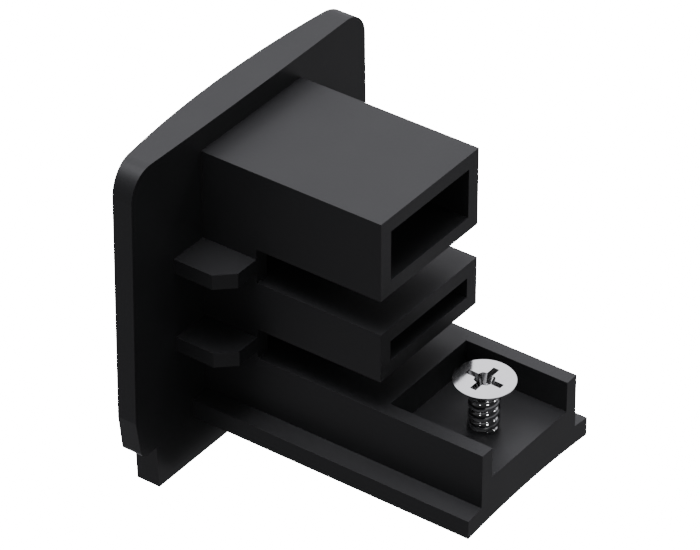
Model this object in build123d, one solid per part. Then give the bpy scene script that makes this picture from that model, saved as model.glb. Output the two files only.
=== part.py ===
from build123d import *
import math
import os

os.makedirs("parts", exist_ok=True)

# Profile end cap in its fitted pose, in millimetres.
# The cover closes the cut end of a hollow track profile. Everything on its +X side plugs into the profile.
# Origin: on the cover's seat plane, at mid-width, level with the underside of the foot rail.
# +X points along the profile, away from the cover. +Y points across it. +Z points from the rail to the upper box.

# Cover
cover_low_width = 35.4        # across the flanks, where the lower chamfers begin
cover_high_width = 34.5       # across the flanks, at the shoulders
cover_toe_width = 34.0        # across the lower corners, before they are rounded
cover_top = 30.35             # height of the top edge at mid-width
cover_top_dip = 0.2           # how far the top edge dips from its shoulders to mid-width
cover_chamfer_top = 4.2       # height where the lower chamfers begin
cover_bottom = -0.2           # height of the lower edge beside the tongue
cover_edge_thickness = 2.05   # at the flanks
cover_crown = 1.6             # extra thickness at mid-width, where the outer face stands furthest out
shoulder_radius = 2.8
toe_radius = 1.0
tongue_inset = 2.15           # from the cover's lower corner to the root of the tongue, on each side
tongue_taper = 0.25           # how much the tongue narrows on each side down to its tip
tongue_drop = 4.65            # how far the tongue hangs below the cover's lower edge

# Core: two hollow boxes over a foot rail, joined by a hollow neck with a slot between each pair of floors
core_width = 14.8             # over the boxes, the neck and the rail's upper body
wall = 1.5
neck_length = 5.95            # from the seat plane to the inner ends of the slots
box_length = 19.5             # from the seat plane to the open ends of the boxes
upper_box_height = 8.15
upper_slot_height = 3.6
lower_box_height = 5.1
lower_slot_height = 3.25

# Foot rail
rail_length = 30.5
rail_height = 7.95
ledge_reach = 2.0             # how far each ledge stands out from the rail's side
ledge_edge_height = 1.95
ledge_root_height = 2.2
underside_rise = 0.5          # the underside is a shallow arch along the whole rail
tray_depth = 3.2              # the tray beyond the boxes is open in front and above

# Tabs on both sides of the neck, one pair beside each slot
tab_reach = 4.25
tab_drop = 0.05               # how far the tabs lie below the middle of the slot's height
tab_thickness = 1.55
tab_chamfer_length = 1.7
tab_chamfer_width = 1.57

# Clamp screw: countersunk, cross recess, driven part of the way through the tray's floor
screw_from_end = 5.0          # from the rail's front end to the screw's axis
screw_standout = 5.1          # from the tray's floor to the top of the head
screw_length = 9.5
shank_diameter = 2.4          # the core under a 2.9 mm thread, whose ridge bites into the plastic
shank_fit = 0.05              # radial clearance of the core in its hole
shank_end_chamfer = 0.4
head_diameter = 5.9
head_rim = 0.25               # upright land round the top of the head
recess_width = 3.7            # tip to tip across the cross
recess_wing = 0.67            # thickness of each wing
recess_depth = 1.4
recess_lean = 26.5            # degrees, how far the wing ends lean inwards as they go down
recess_well = 1.7             # diameter of the round well in the middle
recess_well_floor = 1.1

# Heights of the stack, from the foot up
tray_floor = rail_height - tray_depth
lower_box_bottom = rail_height + lower_slot_height
lower_box_top = lower_box_bottom + lower_box_height
upper_box_bottom = lower_box_top + upper_slot_height
upper_box_top = upper_box_bottom + upper_box_height
slots = [(rail_height, lower_box_bottom), (lower_box_top, upper_box_bottom)]
boxes = [(lower_box_bottom, lower_box_top), (upper_box_bottom, upper_box_top)]
half_core = core_width / 2
screw_x = rail_length - screw_from_end


def mirrored(right):
    """The points of a right-hand outline, and their mirror images in the order that carries the outline on."""
    return right + [(-y, z) for y, z in reversed(right)]


def cover():
    """The cover with its tongue: flat towards the profile, crowned outwards about an upright axis."""
    shoulder_z = cover_top + cover_top_dip
    toe = cover_toe_width / 2
    tongue = toe - tongue_inset
    outline = mirrored([
        (tongue - tongue_taper, cover_bottom - tongue_drop),
        (tongue, cover_bottom),
        (toe, cover_bottom),
        (cover_low_width / 2, cover_chamfer_top),
        (cover_high_width / 2, shoulder_z),
    ])
    middle = len(outline) // 2
    edges = Polyline(*outline[:middle])
    edges += ThreePointArc(outline[middle - 1], (0, cover_top), outline[middle])
    edges += Polyline(*outline[middle:], outline[0])
    face = make_face(edges)
    shoulders = face.vertices().filter_by(lambda v: v.Y > cover_top)
    face = fillet(shoulders, shoulder_radius)
    toes = face.vertices().filter_by(lambda v: abs(v.Y - cover_bottom) < 1e-6 and abs(v.X) > tongue + 1e-6)
    face = fillet(toes, toe_radius)
    plate = extrude(Plane.YZ * face, -cover_crown - cover_edge_thickness)
    half_low = cover_low_width / 2
    crown_radius = (half_low ** 2 + cover_crown ** 2) / (2 * cover_crown)
    crown_x = crown_radius - cover_crown - cover_edge_thickness
    return plate & Pos(crown_x, 0, 0) * Cylinder(crown_radius, 4 * shoulder_z)


def foot_rail():
    """The rail: sloping ledges beside an upper body as wide as the boxes, over an arched underside."""
    half_foot = half_core + ledge_reach
    outline = mirrored([
        (half_foot, 0),
        (half_foot, ledge_edge_height),
        (half_core, ledge_root_height),
        (half_core, rail_height),
    ])
    edges = Polyline(*outline) + ThreePointArc(outline[-1], (0, underside_rise), outline[0])
    return extrude(Plane.YZ * make_face(edges), rail_length)


def stack():
    """The boxes and the neck: one side profile with a slot below each box, run across the core's width."""
    height = upper_box_top - rail_height
    profile = Pos(0, rail_height) * Rectangle(box_length, height, align=(Align.MIN, Align.MIN))
    for low, high in slots:
        slot = Rectangle(box_length - neck_length, high - low, align=(Align.MIN, Align.MIN))
        profile -= Pos(neck_length, low) * slot
    return extrude(Plane.XZ * profile, half_core, both=True)


def tab_pair(height):
    """Both tabs at one height: a plate across the neck with its two front corners cut."""
    tip = half_core + tab_reach
    side = [
        (0, tip),
        (neck_length - tab_chamfer_length, tip),
        (neck_length, tip - tab_chamfer_width),
    ]
    outline = side + [(x, -y) for x, y in reversed(side)]
    plate = extrude(make_face(Polyline(*outline, close=True)), tab_thickness)
    return Pos(0, 0, height - tab_thickness / 2) * plate


def pocket(start, end, low, high):
    """The space between the side walls, from one distance along the core to another."""
    section = Rectangle(core_width - 2 * wall, high - low, align=(Align.CENTER, Align.MIN))
    return extrude(Plane.YZ.offset(start) * Pos(0, low) * section, end - start)


def cap_body():
    """The one-piece moulding."""
    body = cover() + foot_rail() + stack()
    for low, high in slots:
        body += tab_pair((low + high) / 2 - tab_drop)
    for low, high in slots:
        body -= pocket(0, neck_length, low, high)
    for low, high in boxes:
        body -= pocket(0, box_length, low + wall, high - wall)
    body -= pocket(box_length, rail_length, tray_floor, rail_height)
    hole = Cylinder(shank_diameter / 2 + shank_fit, tray_floor, align=(Align.CENTER, Align.CENTER, Align.MIN))
    return body - Pos(screw_x, 0, 0) * hole


def clamp_screw():
    """The screw, with the plain core of its threaded shank."""
    shank = shank_diameter / 2
    head = head_diameter / 2
    countersink = head - shank
    profile = Polyline(
        (0, 0),
        (head, 0),
        (head, -head_rim),
        (shank, -head_rim - countersink),
        (shank, shank_end_chamfer - screw_length),
        (shank - shank_end_chamfer, -screw_length),
        (0, -screw_length),
        close=True,
    )
    screw = revolve(Plane.XZ * make_face(profile), Axis.Z)
    tip = recess_width / 2
    wing_floor = tip - recess_depth * math.tan(math.radians(recess_lean))
    wing = Polyline(*mirrored([(wing_floor, -recess_depth), (tip, 0)]), close=True)
    wing = extrude(Plane.XZ * make_face(wing), recess_wing / 2, both=True)
    well = Cone(recess_well_floor / 2, recess_well / 2, recess_depth, align=(Align.CENTER, Align.CENTER, Align.MAX))
    screw -= wing + Rot(0, 0, 90) * wing + well
    return Pos(screw_x, 0, tray_floor + screw_standout) * screw


pieces = {"cap_body": cap_body(), "clamp_screw": clamp_screw()}
for name, piece in pieces.items():
    export_step(piece, f"parts/{name}.step")
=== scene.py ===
"""Dresses the profile end cap: moulded black plastic, and a bright screw with a real thread."""

import logging
import math
from dataclasses import dataclass, field
from enum import Enum
from typing import Any, Callable

import bmesh
import bpy
from mathutils import Matrix, Vector


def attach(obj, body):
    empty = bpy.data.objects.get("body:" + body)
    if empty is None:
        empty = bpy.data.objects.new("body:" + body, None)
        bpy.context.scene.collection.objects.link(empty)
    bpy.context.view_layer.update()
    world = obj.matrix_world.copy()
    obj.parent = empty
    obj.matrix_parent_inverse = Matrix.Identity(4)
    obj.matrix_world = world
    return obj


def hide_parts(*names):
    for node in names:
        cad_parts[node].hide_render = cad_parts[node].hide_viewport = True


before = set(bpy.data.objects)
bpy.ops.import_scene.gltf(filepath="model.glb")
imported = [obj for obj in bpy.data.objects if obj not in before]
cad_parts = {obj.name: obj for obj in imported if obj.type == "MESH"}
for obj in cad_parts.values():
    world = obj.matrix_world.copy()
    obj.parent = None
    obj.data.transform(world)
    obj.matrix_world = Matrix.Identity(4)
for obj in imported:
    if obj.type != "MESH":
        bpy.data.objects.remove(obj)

LOG = logging.getLogger("end_cap")
MM = 0.001


class Node(str, Enum):
    """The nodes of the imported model."""

    CAP = "cap_body"
    SCREW = "clamp_screw"


class Slot(str, Enum):
    """The record's material slots."""

    PLASTIC = "black_plastic"
    STEEL = "screw_steel"


class Term:
    """A shader value that stands in a Python expression and adds its own Math nodes."""

    def __init__(self, tree: "NodeTree", socket: bpy.types.NodeSocket) -> None:
        """Wraps one output.

        Args:
            tree: The tree that it belongs to.
            socket: The output that gives the value.
        """
        self.tree = tree
        self.socket = socket

    def _math(self, operation: str, first: Any, second: Any = 0.0) -> "Term":
        """Adds one Math node.

        Args:
            operation: The node's operation.
            first: The first operand.
            second: The second operand.

        Returns:
            The node's result.
        """
        node = self.tree.node("ShaderNodeMath", {"operation": operation}, {0: first, 1: second})
        return Term(self.tree, node.outputs[0])

    def __add__(self, other: Any) -> "Term":
        """Gives self + other."""
        return self._math("ADD", self, other)

    __radd__ = __add__

    def __mul__(self, other: Any) -> "Term":
        """Gives self * other."""
        return self._math("MULTIPLY", self, other)

    __rmul__ = __mul__

    def __sub__(self, other: Any) -> "Term":
        """Gives self - other."""
        return self._math("SUBTRACT", self, other)

    def __rsub__(self, other: Any) -> "Term":
        """Gives other - self."""
        return self._math("SUBTRACT", other, self)

    def exp(self) -> "Term":
        """Gives e to the power of self."""
        return self._math("EXPONENT", self)

    def step(self, low: float, high: float) -> "Term":
        """Gives a soft step.

        Args:
            low: Where the step leaves 0.
            high: Where it reaches 1.

        Returns:
            The step, from 0 to 1.
        """
        node = self.tree.node("ShaderNodeMapRange", {"interpolation_type": "SMOOTHSTEP"},
                              {"Value": self, "From Min": low, "From Max": high})
        return Term(self.tree, node.outputs[0])


class NodeTree:
    """A node tree under construction, of a material or of the room."""

    def __init__(self, owner: bpy.types.Material | bpy.types.World) -> None:
        """Starts with no nodes.

        Args:
            owner: The material or the world.
        """
        self.owner = owner
        owner.use_nodes = True
        self.nodes = owner.node_tree.nodes
        self.links = owner.node_tree.links
        self.nodes.clear()

    def node(self, kind: str, settings: dict[str, Any] | None = None,
             inputs: dict[Any, Any] | None = None) -> bpy.types.Node:
        """Adds any node.

        Args:
            kind: The node's type.
            settings: Its properties, which are set first.
            inputs: Values, outputs or Terms for its sockets, by name or number.

        Returns:
            The new node.
        """
        node = self.nodes.new(kind)
        for key, value in (settings or {}).items():
            setattr(node, key, value)
        for key, value in (inputs or {}).items():
            if isinstance(value, Term):
                value = value.socket
            if isinstance(value, bpy.types.NodeSocket):
                self.links.new(value, node.inputs[key])
            else:
                node.inputs[key].default_value = value
        return node

    def place(self) -> bpy.types.NodeSocket:
        """Gives the Object coordinates."""
        return self.node("ShaderNodeTexCoord").outputs["Object"]

    def noise(self, grain_mm: float, detail: float, where: bpy.types.NodeSocket) -> Term:
        """Adds an even cloud of values from 0 to 1.

        Args:
            grain_mm: The size of one grain.
            detail: The number of finer octaves.
            where: The coordinates.

        Returns:
            The cloud.
        """
        scale = 1.0 / (grain_mm * MM)
        cloud = self.node("ShaderNodeTexNoise", {"noise_dimensions": "3D"},
                          {"Vector": where, "Scale": scale, "Detail": detail, "Roughness": 0.5})
        return Term(self, cloud.outputs[0])

    def cells(self, grain_mm: float, where: bpy.types.NodeSocket) -> Term:
        """Adds rounded cells, each highest along its border.

        Args:
            grain_mm: The size of one cell.
            where: The coordinates.

        Returns:
            The distance from the middle of the nearest cell.
        """
        cells = self.node("ShaderNodeTexVoronoi", {"feature": "SMOOTH_F1"},
                          {"Vector": where, "Scale": 1.0 / (grain_mm * MM), "Smoothness": 0.6})
        return Term(self, cells.outputs["Distance"])

    def facing(self, where: bpy.types.NodeSocket, away: Vector) -> Term:
        """Compares directions.

        Args:
            where: The direction of each ray.
            away: The direction to compare with.

        Returns:
            The cosine of the angle between them.
        """
        node = self.node("ShaderNodeVectorMath", {"operation": "DOT_PRODUCT"}, {0: where, 1: away})
        return Term(self, node.outputs["Value"])

    def surface(self, shader: bpy.types.Node) -> bpy.types.Material | bpy.types.World:
        """Closes the tree with its output.

        Args:
            shader: The surface's shader, or the room's.

        Returns:
            The finished material or world.
        """
        world = isinstance(self.owner, bpy.types.World)
        self.node("ShaderNodeOutputWorld" if world else "ShaderNodeOutputMaterial", None,
                  {"Surface": shader.outputs[0]})
        return self.owner


@dataclass(frozen=True)
class MouldedPlastic:
    """Black plastic from a mould with a fine leather-like grain."""

    name: str = "moulded_black_plastic"
    dark: tuple[float, float, float, float] = (0.016, 0.0163, 0.017, 1.0)
    light: tuple[float, float, float, float] = (0.021, 0.0214, 0.0225, 1.0)
    roughness: float = 0.44
    roughness_change: float = 0.1
    grain_mm: float = 0.12
    leather_mm: float = 0.38
    flow_mm: float = 6.0
    height_mm: float = 0.006

    def material(self) -> bpy.types.Material:
        """Makes the finish.

        Returns:
            The material.
        """
        tree = NodeTree(bpy.data.materials.new(self.name))
        where = tree.place()
        grain = tree.noise(self.grain_mm, 2.0, where)
        leather = tree.cells(self.leather_mm, where)
        flow = tree.noise(self.flow_mm, 2.0, where)
        colour = tree.node("ShaderNodeMix", {"data_type": "RGBA"},
                           {0: flow * 0.6 + grain * 0.4, 6: self.dark, 7: self.light})
        rough = (grain - 0.5) * self.roughness_change + (flow - 0.5) * self.roughness_change + self.roughness
        bump = tree.node("ShaderNodeBump", None, {
            "Strength": 0.5, "Distance": self.height_mm * MM, "Height": leather * 0.7 + grain * 0.5})
        shader = tree.node("ShaderNodeBsdfPrincipled", None, {
            "Base Color": colour.outputs[2],
            "Roughness": rough,
            "Normal": bump.outputs[0],
        })
        return tree.surface(shader)


@dataclass(frozen=True)
class BrightSteel:
    """Bright plated steel with faint turning marks."""

    name: str = "bright_plated_steel"
    dark: tuple[float, float, float, float] = (0.72, 0.722, 0.725, 1.0)
    light: tuple[float, float, float, float] = (0.8, 0.8, 0.803, 1.0)
    roughness: float = 0.09
    roughness_change: float = 0.04
    cloud_mm: float = 0.7
    mark_mm: float = 0.05
    mark_height_mm: float = 0.0003

    def material(self) -> bpy.types.Material:
        """Makes the finish.

        Returns:
            The material.
        """
        tree = NodeTree(bpy.data.materials.new(self.name))
        where = tree.place()
        cloud = tree.noise(self.cloud_mm, 3.0, where)
        marks = tree.noise(self.mark_mm, 1.0, where)
        colour = tree.node("ShaderNodeMix", {"data_type": "RGBA"}, {0: cloud, 6: self.dark, 7: self.light})
        bump = tree.node("ShaderNodeBump", None,
                         {"Strength": 0.2, "Distance": self.mark_height_mm * MM, "Height": marks})
        shader = tree.node("ShaderNodeBsdfPrincipled", None, {
            "Base Color": colour.outputs[2],
            "Metallic": 1.0,
            "Roughness": (cloud - 0.5) * self.roughness_change + self.roughness,
            "Normal": bump.outputs[0],
        })
        return tree.surface(shader)


def dress(piece: bpy.types.Object, material: bpy.types.Material) -> None:
    """Gives a piece one material in all its slots.

    Args:
        piece: The object.
        material: Its finish.
    """
    if not piece.material_slots:
        piece.data.materials.append(material)
    for slot in piece.material_slots:
        slot.material = material


def object_from(name: str, mesh: bmesh.types.BMesh) -> bpy.types.Object:
    """Turns a bmesh, in metres and in the model's frame, into an object at the origin.

    Args:
        name: The object's name.
        mesh: The mesh, which is freed.

    Returns:
        The object, linked to the scene.
    """
    data = bpy.data.meshes.new(name)
    mesh.to_mesh(data)
    mesh.free()
    piece = bpy.data.objects.new(name, data)
    bpy.context.scene.collection.objects.link(piece)
    return piece


@dataclass
class CapMoulding:
    """The one-piece moulding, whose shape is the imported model's own."""

    finish: MouldedPlastic = field(default_factory=MouldedPlastic)

    def build(self) -> bpy.types.Object:
        """Dresses the moulding.

        Returns:
            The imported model's own object.
        """
        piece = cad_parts[Node.CAP.value]
        dress(piece, self.finish.material())
        return piece


@dataclass
class ClampScrew:
    """The countersunk screw with its cross recess and helical thread. Sizes are in millimetres.

    Its head sits a degree off square on the shank, tipped towards the rail's front end.
    """

    axis_x: float = 25.57
    head_tip: float = 1.3
    head_top: float = 9.8
    length: float = 9.45
    head_radius: float = 2.91
    head_rim: float = 0.06
    head_bevel: float = 0.03
    neck_length: float = 0.5
    neck_radius: float = 1.3
    crest_radius: float = 1.48
    root_radius: float = 1.22
    crest_power: float = 0.75
    pitch: float = 1.1
    thread_runout: float = 0.25
    thread_phase: float = 0.13
    recess_depth: float = 1.4
    recess_lean: float = 26.5
    recess_draft: float = 5.0
    recess_reach: float = 1.86
    wing_half: float = 0.31
    well_radius: float = 1.0
    well_floor: float = 0.55
    well_extra: float = 0.02
    cut_over: float = 0.2
    around: int = 128
    smallest: float = 0.001
    sharp_angle: float = 32.0
    finish: BrightSteel = field(default_factory=BrightSteel)

    def _turned(self, profile: list[tuple[float, float]], steps: int) -> bmesh.types.BMesh:
        """Turns a profile about the screw's axis into a closed body.

        Args:
            profile: Radius and height below the head's top, from one end of the axis to the other.
            steps: The number of steps round the axis.

        Returns:
            The body, with its top at height 0.
        """
        mesh = bmesh.new()
        points = [mesh.verts.new((r, 0.0, z)) for r, z in profile]
        edges = [mesh.edges.new(pair) for pair in zip(points, points[1:])]
        bmesh.ops.spin(mesh, geom=points + edges, cent=(0, 0, 0), axis=(0, 0, 1), angle=math.tau,
                       steps=steps, use_merge=True, use_duplicate=False)
        bmesh.ops.remove_doubles(mesh, verts=mesh.verts, dist=1e-4)
        bmesh.ops.recalc_face_normals(mesh, faces=mesh.faces)
        return mesh

    def _cone_end(self) -> float:
        """Gives the height where the countersink meets the neck."""
        return -self.head_rim - (self.head_radius - self.neck_radius)

    def _head(self) -> bmesh.types.BMesh:
        """Makes the flat head with its countersink and the neck below it.

        Returns:
            The head.
        """
        bevel, low = self.head_bevel, self._cone_end() - self.neck_length
        profile = [(0.0, 0.0), (self.head_radius - bevel, 0.0), (self.head_radius, -bevel),
                   (self.head_radius, -self.head_rim), (self.neck_radius, self._cone_end()),
                   (self.neck_radius, low), (0.0, low)]
        return self._turned(profile, self.around)

    def _thread(self) -> bmesh.types.BMesh:
        """Winds the thread's rounded ridge down the shank and squares off both ends.

        Returns:
            The threaded shank as a closed body.
        """
        steps = 64
        low = -self.length
        high = self._cone_end() + self.thread_runout
        turns = math.ceil((high - low) / self.pitch) + 2
        start = low - self.pitch + self.thread_phase
        mesh = bmesh.new()
        points = []
        ridge = 14
        for i in range(ridge + 1):
            share = i / ridge
            rise = math.sin(math.pi * share) ** self.crest_power
            radius = self.root_radius + (self.crest_radius - self.root_radius) * rise
            points.append(mesh.verts.new((radius, 0.0, start + self.pitch * share)))
        edges = [mesh.edges.new(pair) for pair in zip(points, points[1:])]
        bmesh.ops.spin(mesh, geom=points + edges, cent=(0, 0, 0), axis=(0, 0, 1), angle=math.tau * turns,
                       dvec=(0, 0, self.pitch / steps), steps=steps * turns, use_merge=False,
                       use_duplicate=False)
        bmesh.ops.remove_doubles(mesh, verts=mesh.verts, dist=1e-4)
        for height, outward in ((high, 1.0), (low, -1.0)):
            bmesh.ops.bisect_plane(mesh, geom=mesh.verts[:] + mesh.edges[:] + mesh.faces[:], dist=1e-5,
                                   plane_co=(0, 0, height), plane_no=(0, 0, outward), clear_outer=True)
        rims = [edge for edge in mesh.edges if edge.is_boundary]
        bmesh.ops.holes_fill(mesh, edges=rims)
        bmesh.ops.recalc_face_normals(mesh, faces=mesh.faces)
        return mesh

    def _wing(self, turn: float) -> bmesh.types.BMesh:
        """Makes one bar of the cross, which narrows downwards.

        Args:
            turn: The bar's angle in degrees.

        Returns:
            The bar as a closed body.
        """
        lean, draft = math.tan(math.radians(self.recess_lean)), math.tan(math.radians(self.recess_draft))
        mesh = bmesh.new()
        bmesh.ops.create_cube(mesh, size=2.0)
        for vert in mesh.verts:
            height = self.cut_over if vert.co.z > 0 else -self.recess_depth
            vert.co = (math.copysign(self.recess_reach + height * lean, vert.co.x),
                       math.copysign(self.wing_half + height * draft, vert.co.y), height)
        about = Matrix.Rotation(math.radians(turn), 3, "Z")
        bmesh.ops.rotate(mesh, verts=mesh.verts, cent=(0, 0, 0), matrix=about)
        return mesh

    def _well(self) -> bmesh.types.BMesh:
        """Makes the eight-sided well in the middle of the cross, which narrows downwards.

        Returns:
            The well as a closed body.
        """
        over = self.cut_over
        depth = self.recess_depth + self.well_extra
        slope = (self.well_radius - self.well_floor) / depth
        mesh = bmesh.new()
        bmesh.ops.create_cone(mesh, cap_ends=True, segments=8, radius1=self.well_floor,
                              radius2=self.well_radius + over * slope, depth=depth + over)
        bmesh.ops.translate(mesh, verts=mesh.verts, vec=(0, 0, (over - depth) / 2))
        return mesh

    def _seated(self, name: str, mesh: bmesh.types.BMesh, tip: float = 0.0) -> bpy.types.Object:
        """Moves a body from the screw's own axis to its place on the cap.

        Args:
            name: The object's name.
            mesh: The body, in millimetres, with the head's top at height 0.
            tip: Degrees by which it is tipped first, about the middle of the head's top.

        Returns:
            The object.
        """
        about = Matrix.Rotation(math.radians(tip), 3, "Y")
        bmesh.ops.rotate(mesh, verts=mesh.verts, cent=(0, 0, 0), matrix=about)
        bmesh.ops.translate(mesh, verts=mesh.verts, vec=(self.axis_x, 0.0, self.head_top))
        bmesh.ops.scale(mesh, verts=mesh.verts, vec=(MM, MM, MM))
        return object_from(name, mesh)

    def build(self) -> bpy.types.Object:
        """Joins the head and the thread, cuts the recess and dresses the screw.

        Returns:
            The screw.
        """
        screw = self._seated("threaded_clamp_screw", self._head(), self.head_tip)
        tools = [
            ("UNION", self._seated("thread_form", self._thread())),
            ("DIFFERENCE", self._seated("wing_x_form", self._wing(0.0), self.head_tip)),
            ("DIFFERENCE", self._seated("wing_y_form", self._wing(90.0), self.head_tip)),
            ("DIFFERENCE", self._seated("well_form", self._well(), self.head_tip)),
        ]
        for operation, tool in tools:
            step = screw.modifiers.new(tool.name, "BOOLEAN")
            step.operation = operation
            step.solver = "EXACT"
            step.object = tool
        bpy.context.view_layer.update()
        shaped = bpy.data.meshes.new_from_object(screw.evaluated_get(bpy.context.evaluated_depsgraph_get()))
        screw.modifiers.clear()
        screw.data = shaped
        for _, tool in tools:
            bpy.data.objects.remove(tool, do_unlink=True)
        cleaned = bmesh.new()
        cleaned.from_mesh(shaped)
        bmesh.ops.remove_doubles(cleaned, verts=cleaned.verts, dist=self.smallest * MM)
        bmesh.ops.dissolve_degenerate(cleaned, edges=cleaned.edges, dist=self.smallest * MM)
        cleaned.to_mesh(shaped)
        cleaned.free()
        shaped.shade_smooth()
        shaped.set_sharp_from_angle(angle=math.radians(self.sharp_angle))
        shaped.materials.clear()
        dress(screw, self.finish.material())
        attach(screw, "root")
        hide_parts(Node.SCREW.value)
        return screw


def direction(azimuth: float, elevation: float) -> Vector:
    """Gives a direction.

    Args:
        azimuth: Degrees from +X towards +Y.
        elevation: Degrees above the floor.

    Returns:
        The unit vector.
    """
    around, up = math.radians(azimuth), math.radians(elevation)
    return Vector((math.cos(up) * math.cos(around), math.cos(up) * math.sin(around), math.sin(up)))


@dataclass(frozen=True)
class Glow:
    """A large soft light far away, brightest in its middle. The focus sets how fast it fades."""

    azimuth: float
    elevation: float
    focus: float
    radiance: float

    def light(self, tree: NodeTree, where: bpy.types.NodeSocket) -> Term:
        """Gives the light that comes from each direction.

        Args:
            tree: The room's tree.
            where: The direction of each ray.

        Returns:
            The radiance.
        """
        cosine = tree.facing(where, direction(self.azimuth, self.elevation))
        return ((cosine - 1.0) * self.focus).exp() * self.radiance


@dataclass(frozen=True)
class Lamp:
    """A small round lamp that gives the thread its glints. Its distance and width are in metres."""

    name: str
    azimuth: float
    elevation: float
    radiance: float
    width: float
    distance: float = 0.3
    aim: tuple[float, float, float] = (0.0255, 0.0, 0.007)

    def build(self) -> bpy.types.Object:
        """Makes the lamp.

        Returns:
            The lamp's object.
        """
        data = bpy.data.lights.new(self.name, "AREA")
        data.shape = "DISK"
        data.size = self.width
        data.energy = self.radiance * math.pi * math.pi * (self.width / 2) ** 2
        lamp = bpy.data.objects.new(self.name, data)
        place = Vector(self.aim) + direction(self.azimuth, self.elevation) * self.distance
        turn = (Vector(self.aim) - place).to_track_quat("-Z", "Y").to_matrix().to_4x4()
        lamp.matrix_world = Matrix.Translation(place) @ turn
        lamp.visible_camera = False
        bpy.context.scene.collection.objects.link(lamp)
        return lamp


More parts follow.
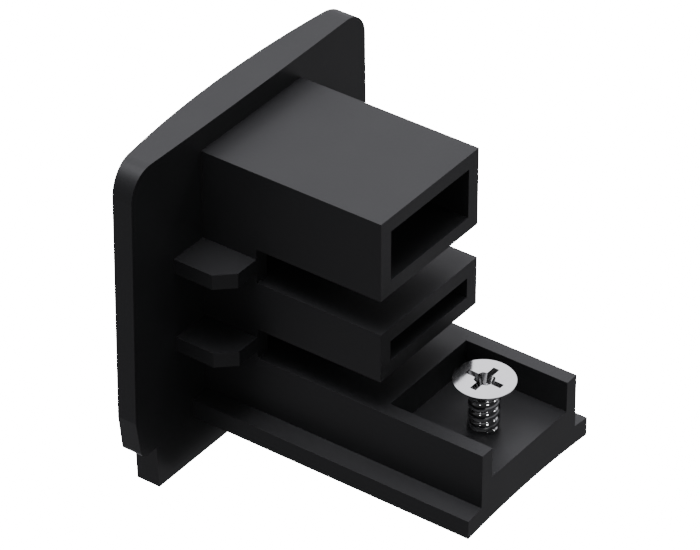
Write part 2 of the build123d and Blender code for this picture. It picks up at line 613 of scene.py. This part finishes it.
@dataclass
class Studio:
    """The pale floor and backdrop, the soft lights and the camera."""

    camera_place: tuple[float, float, float] = (0.207273, -0.270885, 0.252197)
    camera_aim: tuple[float, float, float] = (0.010441, 0.000533, 0.014479)
    lens: float = 235.684
    floor_height: float = -0.0052
    floor_size: float = 12.0
    backdrop_share: float = 0.45
    paper: float = 20.0
    shade_reach: tuple[float, float] = (0.001, 0.027)
    shade_half_width: float = 0.0115
    shade_lift: float = 0.0002
    shade_colour: tuple[float, float, float, float] = (0.02, 0.02, 0.02, 1.0)
    ambient: float = 0.025
    ground: float = 0.13
    tint: tuple[float, float, float, float] = (0.99, 0.985, 1.04, 1.0)
    glows: tuple[Glow, ...] = (
        Glow(213.0, 84.0, 20.8, 11.4),
        Glow(125.0, 36.5, 12.0, 1.1),
        Glow(124.7, 36.7, 60.0, 0.48),
        Glow(172.0, 25.0, 8.0, 0.2),
        Glow(42.0, 20.0, 60.0, 0.84),
        Glow(135.0, -25.0, 3.65, 1.06),
    )
    lamps: tuple[Lamp, ...] = (
        Lamp("left_lamp", 266.0, 27.0, 12.0, 0.028),
        Lamp("front_lamp", 321.0, 27.0, 16.0, 0.05),
        Lamp("right_lamp", 18.0, 27.0, 12.0, 0.038),
    )

    def camera(self) -> bpy.types.Object:
        """Sets up the camera at the photograph's angle.

        Returns:
            The camera.
        """
        data = bpy.data.cameras.new("camera")
        data.sensor_fit = "HORIZONTAL"
        data.sensor_width = 36.0
        data.lens = self.lens
        data.clip_start = 0.01
        data.clip_end = 50.0
        camera = bpy.data.objects.new("camera", data)
        away = Vector(self.camera_aim) - Vector(self.camera_place)
        turn = away.to_track_quat("-Z", "Y").to_matrix().to_4x4()
        camera.matrix_world = Matrix.Translation(self.camera_place) @ turn
        bpy.context.scene.collection.objects.link(camera)
        bpy.context.scene.camera = camera
        return camera

    def _papered(self, name: str, mesh: bmesh.types.BMesh) -> bpy.types.Object:
        """Covers a piece of the studio with white paper, hidden from reflections, bounced light and shadows.

        Args:
            name: The piece's name.
            mesh: Its mesh.

        Returns:
            The piece.
        """
        piece = object_from(name, mesh)
        tree = NodeTree(bpy.data.materials.new("paper_" + name))
        glow = tree.node("ShaderNodeEmission", None, {"Color": (1.0, 1.0, 1.0, 1.0), "Strength": self.paper})
        dress(piece, tree.surface(glow))
        piece.visible_glossy = False
        piece.visible_diffuse = False
        piece.visible_shadow = False
        return piece

    def floor(self) -> bpy.types.Object:
        """Lays the floor.

        Returns:
            The floor.
        """
        mesh = bmesh.new()
        bmesh.ops.create_grid(mesh, x_segments=1, y_segments=1, size=self.floor_size / 2)
        bmesh.ops.translate(mesh, verts=mesh.verts, vec=(0, 0, self.floor_height))
        return self._papered("floor", mesh)

    def backdrop(self) -> bpy.types.Object:
        """Stands a round backdrop on the floor's edge.

        Returns:
            The backdrop.
        """
        mesh = bmesh.new()
        bmesh.ops.create_icosphere(mesh, subdivisions=4, radius=self.floor_size * self.backdrop_share)
        return self._papered("backdrop", mesh)

    def shade(self) -> bpy.types.Object:
        """Lays a dark card under the rail for the shade that the cap casts there. The camera doesn't see it.

        Returns:
            The card.
        """
        mesh = bmesh.new()
        bmesh.ops.create_grid(mesh, x_segments=1, y_segments=1, size=0.5)
        (low_x, high_x), half_y = self.shade_reach, self.shade_half_width
        bmesh.ops.scale(mesh, verts=mesh.verts, vec=(high_x - low_x, 2 * half_y, 1.0))
        height = self.floor_height + self.shade_lift
        bmesh.ops.translate(mesh, verts=mesh.verts, vec=((low_x + high_x) / 2, 0.0, height))
        card = object_from("shade", mesh)
        tree = NodeTree(bpy.data.materials.new("dark_card"))
        dress(card, tree.surface(tree.node("ShaderNodeBsdfDiffuse", None, {"Color": self.shade_colour})))
        card.visible_camera = False
        return card

    def surroundings(self) -> bpy.types.World:
        """Lights the room from its walls.

        Returns:
            The world.
        """
        tree = NodeTree(bpy.data.worlds.new("room"))
        where = tree.node("ShaderNodeTexCoord").outputs["Generated"]
        light = tree.facing(where, direction(0.0, -90.0)).step(0.0, 0.3) * self.ground + self.ambient
        for glow in self.glows:
            light = light + glow.light(tree, where)
        shader = tree.node("ShaderNodeBackground", None, {"Color": self.tint, "Strength": light})
        bpy.context.scene.world = tree.surface(shader)
        return bpy.context.scene.world

    def build(self) -> None:
        """Makes the whole studio."""
        self.camera()
        self.floor()
        self.backdrop()
        self.shade()
        self.surroundings()
        for lamp in self.lamps:
            lamp.build()


def main() -> None:
    """Builds the cap, the screw and the studio."""
    logging.basicConfig(level=logging.INFO, format="%(name)s: %(message)s")
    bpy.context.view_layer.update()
    builders: list[Callable[[], bpy.types.Object]] = [CapMoulding().build, ClampScrew().build]
    for build in builders:
        piece = build()
        LOG.info("%s: %d faces", piece.name, len(piece.data.polygons))
    Studio().build()


if __name__ == "__main__":
    main()
